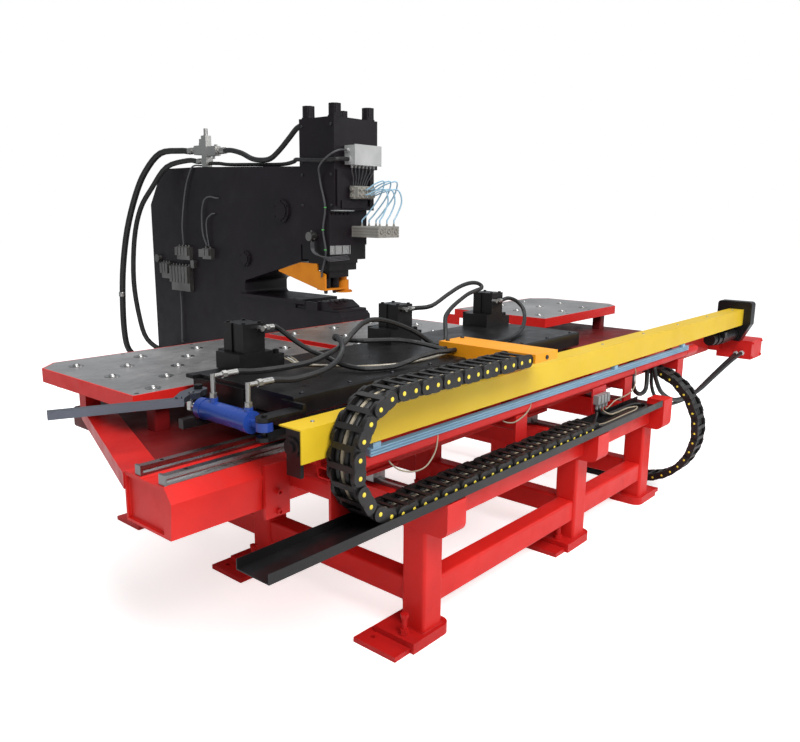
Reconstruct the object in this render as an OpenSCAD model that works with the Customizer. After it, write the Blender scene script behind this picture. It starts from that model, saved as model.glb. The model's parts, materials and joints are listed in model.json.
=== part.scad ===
// CNC plate punching machine: fixed base and C-frame press, a gantry that carries
// the ball tables along Y, and a carriage that carries the plate clamps along X.
// +X runs along the gantry, +Y from the loading side to the press, the floor is z = 0.

/* [Base] */
// Width of a leg along X and Y
leg_w = 100; // [90:5:110]
// Wall of the leg and stretcher tubes
tube_wall = 6; // [4:1:8]
// Gap left at a welded joint, so that each member stays a solid of its own
weld = 0.2; // [0.1:0.05:0.3]
// Underside of the Y beams
beam_z = 400; // [380:5:410]
// Height of a Y beam
beam_h = 100; // [90:5:100]
// Height of the Y guide rails
rail_h = 20; // [16:1:20]
// Centre of the near row of legs
near_row_x = -1240; // [-1260:5:-1220]
// Centre of the middle row of legs
mid_row_x = -210; // [-230:5:-190]
// Centre of the far row of legs
far_row_x = 470; // [460:5:480]

/* [Press] */
// Side face of the C-frame nearest the near row
press_x0 = 302; // [295:1:310]
// Opposite side face of the C-frame
press_x1 = 696; // [680:1:700]
// Rear face of the C-frame
press_rear = 2177; // [2150:1:2180]
// Height of the C-frame's top
press_top = 1747; // [1700:1:1760]
// Height of the punching head
head_top = 2007; // [1950:1:2040]
// Distance from the centre of the punches to the throat's back
throat = 791; // [760:1:800]
// Centre of the row of punches along Y
punch_y = 194; // [190:1:200]
// Distance between punches
punch_pitch = 77; // [72:1:80]
// Radius of a punch
punch_r = 13; // [8:0.5:13]

/* [Gantry] */
// Left end of the X beam
xbeam_x0 = -2069; // [-2080:1:-2050]
// Right end of the X beam
xbeam_x1 = 1940; // [1920:1:1950]
// Front face of the X beam
xbeam_y = -1770; // [-1772:1:-1764]
// Depth of the X beam
xbeam_d = 234; // [228:1:236]
// Underside of the X beam
xbeam_z = 560; // [556:1:564]
// Height of the X beam
xbeam_h = 147; // [140:1:150]
// Height of the tables' steel plates
table_z = 838; // [830:1:845]
// Distance between ball transfers in a row
ball_pitch = 270; // [240:5:275]
// Radius of a transfer ball
ball_r = 15; // [12:0.5:16]

/* [Carriage] */
// Left end of the carriage
carriage_x = -1655; // [-1660:1:-1650]
// Length of the carriage
carriage_l = 1755; // [1740:5:1770]
// Width of a clamp's base
clamp_w = 196; // [180:2:200]
// Width of the clamp jaws
jaw_w = 90; // [70:2:96]
// Length of the locating arm's bar
arm_bar_l = 370; // [340:1:375]
// Section of the locating arm's bar
arm_bar_s = 24; // [20:1:25]

/* [Cable chains] */
// Pitch of the chain links
link_pitch = 52; // [51:0.5:53]
// Height of a link of the X chain
link_h = 46; // [42:1:48]
// Height of a link of the Y chain
y_link_h = 36; // [34:1:46]
// Width of a chain
chain_w = 110; // [100:1:112]
// Links round the X chain's loop
x_loop_links = 11; // [10:1:11]
// Links round the Y chain's loop
y_loop_links = 18; // [17:1:18]

/* [Hidden] */
$fn = 40;
eps = 0.01;
row_x = [near_row_x, mid_row_x, far_row_x];
leg_y = [-1950, -1146, -396];
foot_top = 38;
pad_t = 18;
anchor_at = [-150, 90];
anchor_hole_r = 9;
leg_front = leg_y[0] - leg_w / 2;
beam_front = -2090;
beam_rear = -330;
beam_top = beam_z + beam_h;
rail_top = beam_top + rail_h;
xbeam_top = xbeam_z + xbeam_h;
xbeam_rear = xbeam_y + xbeam_d;
x_rail_y = [xbeam_y + 48, xbeam_y + 166];
x_rail_top = xbeam_top + 28;
arm_x = [-1633, -660, 290, 940];
cover_y = -1962;
table_front = -1250;
table_t = 12;
rim_h = 52;
left_table = [[-1869, table_front], [-818, table_front], [-818, -521], [-1789, -521], [-1869, -601]];
mid_table = [[-750, table_front], [176, table_front], [176, -536], [-750, -536]];
right_table = [[710, table_front], [1610, table_front], [1695, -1165], [1695, -700], [1595, -600],
    [710, -600]];
balls = concat([for (j = [0 : 4], i = [0 : 3 - j % 2]) [-1760 + i * ball_pitch + j % 2 * 135,
    -650 - j * 135]],
    [for (j = [0 : 2], i = [0 : 2]) [-660 + i * ball_pitch + j % 2 * 135, -650 - j * 220]],
    [for (j = [0 : 2], i = [0 : 2]) [830 + i * ball_pitch + j % 2 * 100, -700 - j * 220]]);
carriage_y = [-1786, -1275];
carriage_z = [821, 887];
carriage_x1 = carriage_x + carriage_l;
clamp_x = [-1455, -684, 5];
clamp_block_x = [-30, -6, -6];
clamp_y = [-1395, -1262];
clamp_top = 947;
clamp_rear = -1226;
pass_z = 849;
jaw_z = 876;
pivot = [-1740, -1425];
arm_rest = 158.1;
arm_z = 852;
rod_x0 = -1790;
clevis_y = -1815;
rod_pin_y = pivot[1] - 50 * tan(34);
x_loop = [-1495, -2025];
x_loop_r = link_pitch / 2 / sin(90 / x_loop_links);
x_chain_z = 552;
x_lower_links = 24;
x_upper_links = 13;
y_loop = [738, -1856];
y_loop_r = link_pitch / 2 / sin(90 / y_loop_links);
y_chain_z = 42;
y_lower_links = 12;
y_upper_links = 1;
link_gap = 0.4;
die_top = 852;
jaw_top = 790;
jaw_rise = 840;
punch_x = [for (i = [-1 : 1]) 430 + i * punch_pitch];

// ---------- shared shapes ----------

// A box from its lower corner to its upper corner
module span(a, b) {
    translate(a) cube(b - a);
}

// A rectangle with round corners, its lower corner at the origin
module soft_rect(w, d, r) {
    translate([r, 0]) square([w - 2 * r, d]);
    translate([0, r]) square([w, d - 2 * r]);
    for (x = [r, w - r], y = [r, d - r]) translate([x, y]) circle(r);
}

// A square tube's section, centred
module tube_section(w, d, wall) {
    difference() {
        translate([-w / 2, -d / 2]) soft_rect(w, d, 2 * wall);
        translate([wall - w / 2, wall - d / 2]) soft_rect(w - 2 * wall, d - 2 * wall, wall);
    }
}

// Tube along Y from y0 to y1, its section centred on x and z
module tube_y(x, z, w, h, y0, y1) {
    translate([x, y1 - weld, z]) rotate([90, 0, 0]) linear_extrude(y1 - y0 - 2 * weld)
        tube_section(w, h, tube_wall);
}

// Tube along X from x0 to x1
module tube_x(y, z, d, h, x0, x1) {
    translate([x0 + weld, y, z]) rotate([90, 0, 90]) linear_extrude(x1 - x0 - 2 * weld)
        tube_section(d, h, tube_wall);
}

// Profile drawn in (y, z), extruded along X from x0 to x1
module side_profile(x0, x1) {
    translate([x0, 0, 0]) rotate([90, 0, 90]) linear_extrude(x1 - x0) children();
}

// Profile drawn in (x, z), extruded along Y from y0 to y1
module front_profile(y0, y1) {
    translate([0, y1, 0]) rotate([90, 0, 0]) linear_extrude(y1 - y0) children();
}

// Cylinders along X and along -Y from the point where they are put
module rod_x(d, h, sides = $fn) {
    rotate([0, 90, 0]) cylinder(d = d, h = h, $fn = sides);
}

module rod_y(d, h, sides = $fn) {
    rotate([90, 0, 0]) cylinder(d = d, h = h, $fn = sides);
}

// A hex socket head screw, its head standing on z = 0
module cap_screw(d) {
    difference() {
        cylinder(d = 1.6 * d, h = d, $fn = 20);
        translate([0, 0, d / 2]) cylinder(d = d, h = d, $fn = 6);
    }
}

// A hose fitting along -Y: hex, collar and crimped ferrule
module fitting(d) {
    rod_y(1.5 * d, 0.6 * d, 6);
    rod_y(d, 1.2 * d, 20);
    translate([0, -1.2 * d, 0]) rod_y(1.3 * d, 1.3 * d, 24);
}

// Points of a smooth path through the route's points
function spline(p, n) = concat([for (i = [0 : len(p) - 2], k = [0 : n - 1])
    let (a = p[max(i - 1, 0)], b = p[i], c = p[i + 1], d = p[min(i + 2, len(p) - 1)], t = k / n)
    i == 0 || i == len(p) - 2 ? b + (c - b) * t :
    0.5 * (2 * b + (c - a) * t + (2 * a - 5 * b + 4 * c - d) * t * t + (3 * b - a - 3 * c + d) * t * t * t)],
    [p[len(p) - 1]]);
function unit(v) = v / norm(v);
function tangent(p, i) = unit(p[min(i + 1, len(p) - 1)] - p[max(i - 1, 0)]);
function flat_to(v, t) = unit(v - (v * t) * t);
// Side vectors carried along the path without twist
function frames(p, i, side) = i == len(p) ? [] :
    let (s = flat_to(side, tangent(p, i))) concat([s], frames(p, i + 1, s));

// A round hose swept along a route
module hose(route, r, n = 4, sides = 8, side = [0.3, 0.2, 0.93]) {
    path = spline(route, n);
    f = frames(path, 0, side);
    rings = [for (i = [0 : len(path) - 1], k = [0 : sides - 1])
        let (a = 360 * k / sides, u = f[i], v = cross(tangent(path, i), u))
        path[i] + r * (cos(a) * u + sin(a) * v)];
    last = (len(path) - 1) * sides;
    skin = [for (i = [0 : len(path) - 2], k = [0 : sides - 1])
        let (a = i * sides + k, b = i * sides + (k + 1) % sides) [a, a + sides, b + sides, b]];
    caps = [[for (k = [0 : sides - 1]) k], [for (k = [0 : sides - 1]) last + sides - 1 - k]];
    polyhedron(rings, concat(skin, caps));
}

// A convex outline with every side moved in by d, its points listed anticlockwise
function normal(a, b) = unit([a[1] - b[1], b[0] - a[0]]);
function inset(p, d) = [for (i = [0 : len(p) - 1])
    let (a = p[(i + len(p) - 1) % len(p)], b = p[i], c = p[(i + 1) % len(p)], n = normal(a, b),
        m = normal(b, c))
    b + d * (n + m) / (1 + n * m)];

// ---------- cable chain links ----------

// Side plate of one link from pin to pin, with its pin bosses and stop rib
module link_plate(y0, y1, h) {
    translate([0, y1, 0]) rotate([90, 0, 0]) linear_extrude(y1 - y0) {
        difference() {
            union() {
                translate([0, -h / 2]) square([link_pitch, h]);
                for (x = [0, link_pitch]) translate([x, 0]) circle(h / 2, $fn = 28);
            }
            for (s = [-1, 1]) translate([link_pitch / 2, s * (h / 2 + 3)]) circle(7, $fn = 16);
        }
    }
}

// One link: two side plates and the bars that bridge them
module chain_link(outer, h) {
    wall = 8;
    y0 = outer ? 0 : wall + link_gap;
    half = chain_w / 2 - y0;
    for (s = [1, -1]) scale([1, s, 1]) link_plate(half - wall, half, h);
    for (z = [-h / 2 + 1, h / 2 - 6])
        span([link_pitch / 2 - 9, -half + 1, z], [link_pitch / 2 + 9, half - 1, z + 5]);
}

// A straight row of links along +X; the first is wide if its number is even
module chain_row(n, first, h = link_h) {
    for (i = [0 : n - 1]) translate([i * link_pitch, 0, 0]) chain_link((i + first) % 2 == 0, h);
}

// Links round a half turn that opens towards +X, from the lower run to the upper
module chain_turn(n, r, h = link_h) {
    step = 180 / n;
    for (i = [0 : n - 1]) rotate([0, step * i, 0]) translate([0, 0, -r]) rotate([0, 180 + step / 2, 0])
        chain_link(i % 2 == 1, h);
}

// ---------- base ----------

// One foot: the ground pad with its anchor hole, and the plate that the leg stands on
module foot() {
    difference() {
        union() {
            linear_extrude(pad_t) {
                translate([-195, -50]) square([85, 187]);
                translate([-110, -50]) square([60, 127]);
                translate([-110, 77]) circle(60);
            }
            linear_extrude(foot_top) {
                translate([-120, -66]) square([165, 179]);
                translate([-40, -66]) soft_rect(125, 179, 40);
            }
        }
        translate([anchor_at[0], anchor_at[1], -1]) cylinder(r = anchor_hole_r, h = pad_t + 2);
    }
}

// Each foot where its leg stands; the far row's pads point the other way
module at_feet() {
    for (i = [0 : 2], y = leg_y) translate([row_x[i], y, 0]) scale([i == 2 ? -1 : 1, 1, 1]) children();
}

module feet() {
    color("firebrick") at_feet() foot();
}

// Levelling bolt with its lock nut, and the short clamping bolt beside it
module anchor_bolts() {
    color("firebrick") at_feet() {
        translate([-88, 2, foot_top]) {
            cylinder(d = 40, h = 4);
            translate([0, 0, 4]) cylinder(d = 34, h = 14, $fn = 6);
            translate([0, 0, 18]) cylinder(d = 20, h = 42, $fn = 24);
            translate([0, 0, 60]) cylinder(d = 30, h = 12, $fn = 6);
        }
        translate([66, 70, foot_top]) cap_screw(14);
    }
}

module legs() {
    color("red") for (x = row_x, y = leg_y) translate([x, y, foot_top + weld])
        linear_extrude(beam_z - foot_top - 2 * weld) tube_section(leg_w, leg_w, tube_wall);
}

module y_beams() {
    color("red") for (x = row_x) side_profile(x - 50, x + 50) {
        polygon([[beam_front, beam_z + 35], [beam_front + 35, beam_z], [beam_rear, beam_z],
            [beam_rear, beam_top],
            [leg_front - 4, beam_top], [leg_front - 4, rail_top], [beam_front, rail_top]]);
        translate([beam_front + 35, beam_z + 35]) circle(35);
    }
    color("red") span([far_row_x - 50, beam_front, rail_top - eps],
        [far_row_x + 50, leg_front - 4, rail_top + 30]);
}

// Stretchers between the rows and along each row
module frame_rails() {
    color("firebrick") {
        for (i = [0 : 1], s = [[-1984, 460, 80], [leg_y[0], 162, 94], [leg_y[2], 162, 94],
            [leg_y[1], 450, 80]])
            tube_x(s[0], s[1], 80, s[2], row_x[i] + leg_w / 2, row_x[i + 1] - leg_w / 2);
        for (x = row_x, i = [0 : 1]) tube_y(x, 165, 80, 90, leg_y[i] + leg_w / 2, leg_y[i + 1] - leg_w / 2);
    }
}

// Waisted section of a linear guide rail of width w, its foot on z = 0
module rail_section(w, h) {
    a = w / 2;
    polygon([[-a, 0], [a, 0], [a, h * 0.25], [a - 3, h * 0.45], [a, h * 0.65], [a, h], [-a, h],
        [-a, h * 0.65], [-a + 3, h * 0.45], [-a, h * 0.25]]);
}

// Bearing block up to the height top round a rail section
module bearing_section(w, h, top) {
    difference() {
        translate([-w / 2 - 18, h * 0.3]) soft_rect(w + 36, top - h * 0.3, 4);
        rail_clearance(w, h);
    }
}

// The rail's outline grown by the bearing's clearance
module rail_clearance(w, h) {
    a = w / 2 + 0.5;
    polygon([[-a, -1], [a, -1], [a, h * 0.25 - 0.3], [a - 3, h * 0.45], [a, h * 0.65 + 0.3], [a, h + 0.5],
        [-a, h + 0.5], [-a, h * 0.65 + 0.3], [-a + 3, h * 0.45], [-a, h * 0.25 - 0.3]]);
}

module y_guide_rails() {
    color("silver") for (x = row_x) difference() {
        front_profile(leg_front, beam_rear - 10) translate([x, beam_top]) rail_section(24, rail_h);
        for (y = [leg_front + 60 : 120 : beam_rear - 40]) translate([x, y, rail_top - 6]) cylinder(d = 11,
            h = 10, $fn = 16);
    }
}

// ---------- C-frame press ----------

// Side of the C-frame drawn in (y, z): foot, lower jaw, throat and upper jaw
module cframe_section() {
    r = 30;
    back = punch_y + throat - r;
    roof = 1105 - 0.27 * (back - 374);
    difference() {
        polygon([[620, 0], [press_rear, 0], [press_rear, 1474], [1990, press_top], [1490, press_top],
            [374, press_top - 31], [374, 1105], [back, roof], [back, jaw_rise], [440, jaw_rise],
                [440, jaw_top],
            [20, jaw_top], [-6, jaw_top - 26], [-6, 640], [330, 340], [520, 260]]);
        for (z = [jaw_rise + r, roof - r]) translate([back, z]) circle(r);
        translate([back - 1, jaw_rise + r]) square([r + 1, roof - jaw_rise - 2 * r]);
    }
}

// Cap on the side of the press: a flange, a raised centre and its ring of screws
module side_cap(r) {
    rod_x(2 * r, 14);
    translate([13, 0, 0]) rod_x(1.4 * r, 7);
    for (a = [0 : 60 : 300]) rotate([a, 0, 0]) translate([13, 0, 0.85 * r]) rod_x(12, 6, 12);
}

module cframe_body() {
    color([0.07, 0.07, 0.08]) {
        difference() {
            side_profile(press_x0, press_x1) cframe_section();
            span([565, -10, 600], [press_x1 + 4, 330, jaw_top + 10]);
        }
        span([press_x0 - 13, 331, 822], [press_x0 + eps, 1046, 846]);
        for (b = [[557, 1430, 78], [963, 1096, 56]]) {
            translate([press_x0 + eps, b[0], b[1]]) rotate([0, 0, 180]) side_cap(b[2]);
            translate([press_x1 - eps, b[0], b[1]]) side_cap(b[2]);
        }
    }
}

module head_block() {
    color([0.06, 0.06, 0.07]) {
        span([press_x0, 54, 1700], [press_x1, 374, head_top]);
        span([press_x0, 54, 1440], [press_x1 - 32, 374, 1700]);
        span([press_x0, 100, 1216], [643, 374, 1440]);
        for (x = [press_x0 + 14, 614]) span([x, 42, 1466], [x + 26, 54, 1690]);
        span([360, 46, 1452], [590, 54, 1500]);
    }
    color("silver") {
        span([309, 60, 1434], [486, 100 + eps, 1440 + eps]);
        for (i = [0 : 4]) translate([325 + i * 36, 100, 1418]) cap_screw_y(9);
    }
}

// A cap screw whose head points along -Y
module cap_screw_y(d) {
    rotate([90, 0, 0]) cap_screw(d);
}

module tie_rod_nuts() {
    color([0.1, 0.1, 0.11]) for (x = [350, 648], y = [94, 334]) translate([x, y, head_top]) difference() {
        union() {
            cylinder(d = 88, h = 8);
            cylinder(d = 78, h = 80);
        }
        translate([0, 0, 74]) cylinder(d = 44, h = 10);
        for (a = [0 : 45 : 315]) rotate([0, 0, a]) translate([42, 0, 20]) cylinder(d = 14, h = 70, $fn = 16);
    }
}

module punch_housing() {
    color([0.05, 0.05, 0.06]) difference() {
        union() {
            span([press_x0, 100, 1121], [632, 360, 1216]);
            span([press_x0, 100, 1098], [556, 300, 1121]);
            span([312, 112, 1054], [556, 217, 1098]);
            span([326, 130, 1009], [500, 217, 1054]);
            for (x = [punch_x[0], punch_x[1]]) translate([x, punch_y, 938]) cylinder(r = 32, h = 72);
        }
        for (x = punch_x) translate([x, punch_y, 930]) cylinder(r = punch_r + 0.5, h = 290);
        for (x = [313, 379, 444]) span([x, 99, 1162], [x + 40, 108, 1238]);
    }
    color("silver") for (x = [313, 379, 444]) {
        span([x + 3, 104, 1165], [x + 37, 108 + eps, 1213]);
        for (z = [1176, 1202]) translate([x + 20, 104, z]) rod_y(8, 4, 16);
    }
}

module junction_box() {
    color([0.75, 0.75, 0.74]) {
        span([394, -34, 1721], [632, 54, 1838]);
        span([391, -40, 1717], [635, -34, 1842]);
        for (x = [402, 624], z = [1728, 1831]) translate([x, -40, z]) rod_y(9, 2, 16);
        for (i = [0 : 6]) translate([414 + i * 33, 8, 1721]) {
            translate([0, 0, -8]) cylinder(d = 22, h = 8, $fn = 6);
            translate([0, 0, -20]) cylinder(d = 16, h = 14, $fn = 20);
        }
        translate([394, 20, 1807]) rotate([0, 0, 180]) rod_x(26, 9, 6);
        translate([386, 20, 1807]) rotate([0, 0, 180]) rod_x(19, 10, 20);
        translate([394, 14, 1752]) rotate([0, 0, 180]) rod_x(42, 8, 24);
    }
}

// Solenoid valve bank with its push-in ports
module valve_block() {
    color([0.7, 0.68, 0.6]) {
        span([440, 14, 1512], [610, 54, 1592]);
        for (i = [0 : 3]) span([446 + i * 42, -10, 1520], [480 + i * 42, 14, 1584]);
        for (i = [0 : 3], z = [1536, 1568]) translate([463 + i * 42, -10, z]) {
            rod_y(20, 8, 6);
            translate([0, -8, 0]) rod_y(15, 8, 20);
        }
        for (z = [1532, 1572]) translate([440, 34, z]) rotate([0, 0, 180]) rod_x(26, 10, 6);
    }
}

// Three compact air cylinders that pick which punch the ram drives
module selector_bodies() {
    color([0.8, 0.8, 0.8]) for (i = [0 : 2]) translate([502 + i * 68, 0, 1268]) {
        difference() {
            translate([0, 100, 0]) rotate([90, 0, 0]) linear_extrude(234) soft_rect(67, 72, 7);
            for (z = [18, 36, 54], x = [-1, 64]) span([x, -160, z - 3], [x + 4, 92, z + 3]);
            translate([33.5, -130, 36]) rod_y(38, 10);
        }
        translate([33.5, -126, 36]) rod_y(20, 12, 20);
        for (x = [10, 57], z = [10, 62]) translate([x, -134, z]) rod_y(9, 3, 16);
        for (y = [-118, 40]) translate([33.5, y, 72]) {
            cylinder(d = 16, h = 8, $fn = 6);
            cylinder(d = 11, h = 18, $fn = 16);
        }
    }
}

// Stripper plate on its side arm, with the flanged foot that holds the sheet down
module stripper() {
    color("orange") {
        side_profile(304, 318) polygon([[610, 1028], [610, 1036], [390, 1097.8], [222, 1097.8],
            [222, 1052], [150, 1030],
            [150, 925], [190, 925]]);
        difference() {
            union() {
                span([318 - eps, 150, 925], [punch_x[2], 240, 937]);
                translate([punch_x[2], punch_y, 903]) cylinder(r = 66, h = 9);
                translate([punch_x[2], punch_y, 912 - eps]) cylinder(r = 42, h = 72);
                translate([punch_x[2], punch_y, 984 - 2 * eps]) cylinder(r = 30, h = 20);
            }
            for (x = punch_x) translate([x, punch_y, 890]) cylinder(r = punch_r + 2, h = 130);
        }
        for (a = [0 : 60 : 300]) translate([punch_x[2], punch_y, 912 - eps]) rotate([0, 0, a])
            translate([54, 0, 0]) cap_screw(8);
    }
}

// Die block with its sloping cheeks, on the bolster that is clamped to the lower jaw
module die_holder() {
    color([0.09, 0.09, 0.1]) difference() {
        union() {
            span([310, 24, jaw_top], [560, 430, 806]);
            side_profile(310, 560) polygon([[85, 806 - eps], [300, 806 - eps], [300, 812], [240, die_top - 2],
                [150, die_top - 2], [85, 812]]);
        }
        for (x = punch_x) translate([x, punch_y, 780]) cylinder(r = 38, h = 80);
        for (x = punch_pitch * [-0.5, 0.5]) span([430 + x - 5, 70, 836], [430 + x + 5, 160, 860]);
        for (x = [350, 435, 520]) translate([x, 54, 794]) cylinder(d = 26, h = 40);
    }
    color([0.1, 0.1, 0.11]) for (x = [350, 435, 520]) translate([x, 54, 794 - eps]) cap_screw(12);
    color("lightblue") span([press_x0 - 14, 208, 791], [309.8, 324, 845]);
}

// The three dies in their pockets
module dies() {
    color([0.35, 0.35, 0.37]) for (x = punch_x) translate([x, punch_y, 0]) difference() {
        union() {
            translate([0, 0, jaw_top]) cylinder(r = 37.7, h = 50);
            translate([0, 0, 840 - eps]) cylinder(r1 = 37.7, r2 = 26, h = die_top - 840);
        }
        translate([0, 0, jaw_top - 1]) cylinder(r = punch_r + 0.6, h = 80);
    }
}

// Punch: upset head, shank and ground tip
module punch(i) {
    color([0.12, 0.12, 0.13]) translate([punch_x[i], punch_y, 0]) {
        translate([0, 0, 914]) cylinder(r = punch_r, h = 225);
        translate([0, 0, 900]) cylinder(r1 = punch_r - 2, r2 = punch_r, h = 14 + eps);
    }
}
module punch_1() { punch(0); }
module punch_2() { punch(1); }
module punch_3() { punch(2); }

module hydraulic_manifold() {
    color([0.75, 0.73, 0.68]) {
        span([306, 1400, press_top - 0.9], [356, 1456, 1968]);
        translate([330, 1428, 1968]) {
            cylinder(d = 40, h = 6, $fn = 6);
            cylinder(d = 30, h = 50);
        }
        span([312, 1456, 1836], [362, 1560, 1902]);
        translate([337, 1496, 1902 - eps]) {
            cylinder(d = 44, h = 18, $fn = 6);
            cylinder(d = 34, h = 46);
        }
        translate([337, 1560, 1869]) rotate([0, 0, 180]) fitting(38);
        translate([331, 1456, 1790]) rotate([0, 0, 180]) fitting(32);
        span([310, 1292, 1822], [358, 1400, 1890]);
        translate([334, 1292, 1854]) fitting(36);
        translate([330, 1310, 1890 - eps]) cylinder(d = 26, h = 10, $fn = 6);
        translate([356, 1428, 1800]) rod_x(34, 20, 6);
        translate([330, 1340, 1822]) mirror([0, 0, 1]) cylinder(d = 22, h = 22, $fn = 6);
    }
}

// Valve banks, gauge and distributor on the press's side
module side_valves() {
    banks = [[1615, 1787, 1057, 1158], [1336, 1444, 1075, 1155], [1899, 2014, 899, 1024],
        [1626, 1879, 813, 1010]];
    color([0.5, 0.5, 0.48]) for (b = banks) {
        w = b[1] - b[0];
        h = b[3] - b[2];
        n = round(w / 44);
        span([press_x0 - 34, b[0], b[2]], [press_x0, b[1], b[3]]);
        for (k = [0 : n - 1]) span([press_x0 - 54, b[0] + 4 + k * w / n, b[2] + h / 3],
            [press_x0 - 34 + eps, b[0] - 4 + (k + 1) * w / n, b[3] - 6]);
        for (k = [0 : n - 1]) translate([press_x0 - 18, b[0] + (k + 0.5) * w / n, b[3]]) cylinder(d = 16,
            h = 12, $fn = 6);
    }
    color("white") span([press_x0 - 30, 1569, 997], [press_x0, 1613, 1056]);
    color([0.15, 0.25, 0.6]) span([press_x0 - 30, 1446, 1088], [press_x0, 1500, 1146]);
    color("silver") {
        translate([press_x0, 2085, 1052]) rotate([0, 0, 180]) rod_x(64, 30);
        translate([press_x0, 242, 1272]) rotate([0, 0, 180]) rod_x(58, 52, 24);
        for (a = [0 : 60 : 300]) translate([press_x0 - 26, 242, 1272]) rotate([a, 0, 0]) cylinder(d = 12,
            h = 38, $fn = 12);
    }
}

module pressure_hoses() {
    color([0.05, 0.05, 0.05]) {
        hose([[337, 1655.6, 1869], [337, 1672, 1869], [312, 1740, 1874], [228, 1880, 1856],
            [158, 1990, 1720], [104, 2060, 1540],
            [48, 2115, 1280], [8, 2140, 1000], [-14, 2142, 740], [-18, 2140, 480], [6, 2130, 330],
            [90, 2100, 250],
            [200, 2088, 226], [301.5, 2088, 226]], 23, 4, 10);
        hose([[331, 1536.6, 1790], [331, 1552, 1790], [302, 1630, 1798], [226, 1800, 1752],
            [172, 1930, 1600], [122, 2030, 1440],
            [84, 2080, 1210], [56, 2080, 884], [74, 2060, 600], [110, 2030, 420], [210, 1985, 320],
            [301.5, 1985, 320]], 19, 4, 10);
        hose([[334, 1201.4, 1854], [334, 1180, 1854], [334, 1120, 1850], [332, 1010, 1826],
            [330, 900, 1786], [330, 800, 1772],
            [330, 700, 1778], [334, 610, 1828], [342, 520, 1900], [348, 450, 1958],
            [352, 400, 1974], [352, 374.6, 1974]], 18, 4, 10);
        hose([[342, 1399, 1772], [346, 1300, 1768], [352, 1180, 1756], [354, 900, 1747], [346, 600, 1738],
            [312, 440, 1748], [280, 384, 1757], [274, 300, 1752], [276, 150, 1744], [284, 40, 1746],
            [300, 16, 1750], [336, 14, 1752], [372, 14, 1752], [385.2, 14, 1752]], 13, 4, 10);
    }
}

// Control cables: down the head's side, over the side valves and the tubes to the selectors
module signal_cables() {
    color([0.25, 0.25, 0.26]) {
        hose([[375.3, 20, 1807], [362, 20, 1807], [330, 10, 1806], [292, 6, 1800], [258, 30, 1780],
            [251, 90, 1745],
            [262, 150, 1700], [286, 170, 1650], [291, 165, 1595],
            [290, 126, 1455], [291, 149, 1315], [290, 124, 1173], [292, 160, 1060], [296, 172, 1014]], 6, 4);
        hose([[284, 1713, 1171], [276, 1708, 1300], [280, 1680, 1480], [284, 1640, 1620], [286, 1590, 1710],
            [290, 1560, 1748], [306, 1536, 1760], [320, 1500, 1758], [320, 1456.6, 1757]], 6, 3);
        hose([[284, 1410, 1168], [284, 1412, 1184], [284, 1450, 1260], [282, 1452, 1400],
            [282, 1420, 1500], [284, 1360, 1530],
            [284, 1290, 1524],
            [289, 1264, 1520], [301.2, 1262, 1520]], 6, 3);
        hose([[284, 1380, 1168], [282, 1396, 1260], [280, 1392, 1360], [284, 1340, 1402], [289, 1314, 1410],
            [301.2, 1312, 1410]], 5, 3);
        hose([[286, 1790, 812.4], [286, 1790, 790], [288, 1790, 700], [288, 1795, 560], [287, 1800, 430],
            [287, 1802, 400], [301.2, 1802, 400]], 6, 3);
        for (i = [0 : 3]) hose([[262 + i * 8, 232, 1238], [262 + i * 8, 232, 1200], [264 + i * 7, 222, 1176],
            [268 + i * 6, 190, 1158], [272 + i * 6, 130, 1148 - i * 5], [286 + i * 3, 89, 1144 - i * 8],
            [360 + i * 10, 91, 1146 - i * 8], [430 + i * 8, 91, 1148 - i * 8],
            [452 + i * 8, 93, 1150 - i * 8]], 3.5, 3, 6);
        for (i = [0 : 6]) hose([[414 + i * 33, 8, 1700.4], [414 + i * 33, 10, 1680], [440 + i * 26, 24, 1648],
            [456 + i * 22, 38, 1620], [460 + i * 20, 44, 1593.4]], 4, 3, 6);
    }
    color([0.4, 0.7, 0.85]) for (i = [0 : 2], s = [0, 1])
        hose([[505 + i * 42, -27, 1536 + s * 32], [506 + i * 42, -40, 1538 + s * 32],
            [530 + i * 50, -80, 1560 + s * 44],
            [570 + i * 62, -130 + s * 8, 1570 + s * 50], [590 + i * 66, -140 + s * 70, 1500 + s * 30],
            [566 + i * 66, -126 + s * 140, 1420], [536 + i * 68, -118 + s * 158, 1376],
            [536 + i * 68, -118 + s * 158, 1359.4]], 5, 4, 6);
}

// ---------- Y chain ----------

module y_chain_tray() {
    color("dimgray") {
        side_profile(y_loop[0] - 64, y_loop[0] + 64) translate([-1880, 0]) square([690, 6]);
        for (s = [-64, 58]) span([y_loop[0] + s, -1880, 6 - eps], [y_loop[0] + s + 6, -1190, 22]);
        span([y_loop[0] - 50, -1206, 6], [y_loop[0] + 50, -1190, 62]);
    }
}

module on_y_chain() {
    translate([y_loop[0], y_loop[1], 0]) rotate([0, 0, 90]) children();
}

module y_chain_lower() {
    color([0.08, 0.08, 0.08]) on_y_chain() translate([0, 0, y_chain_z]) chain_row(y_lower_links, 0, y_link_h);
}

module y_chain_loop() {
    color([0.08, 0.08, 0.08]) on_y_chain() translate([0, 0, y_chain_z + y_loop_r]) chain_turn(y_loop_links,
        y_loop_r, y_link_h);
}

module y_chain_upper() {
    color([0.08, 0.08, 0.08]) on_y_chain() translate([0, 0, y_chain_z + 2 * y_loop_r]) {
        chain_row(y_upper_links, 1, y_link_h);
        span([link_pitch - 6, -39, -16], [xbeam_y - y_loop[1], 39, 16]);
    }
}

// ---------- X chain ----------

module on_x_chain() {
    translate([x_loop[0], x_loop[1], x_chain_z]) children();
}

module x_chain_lower() {
    color([0.08, 0.08, 0.08]) on_x_chain() chain_row(x_lower_links, 0);
}

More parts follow.
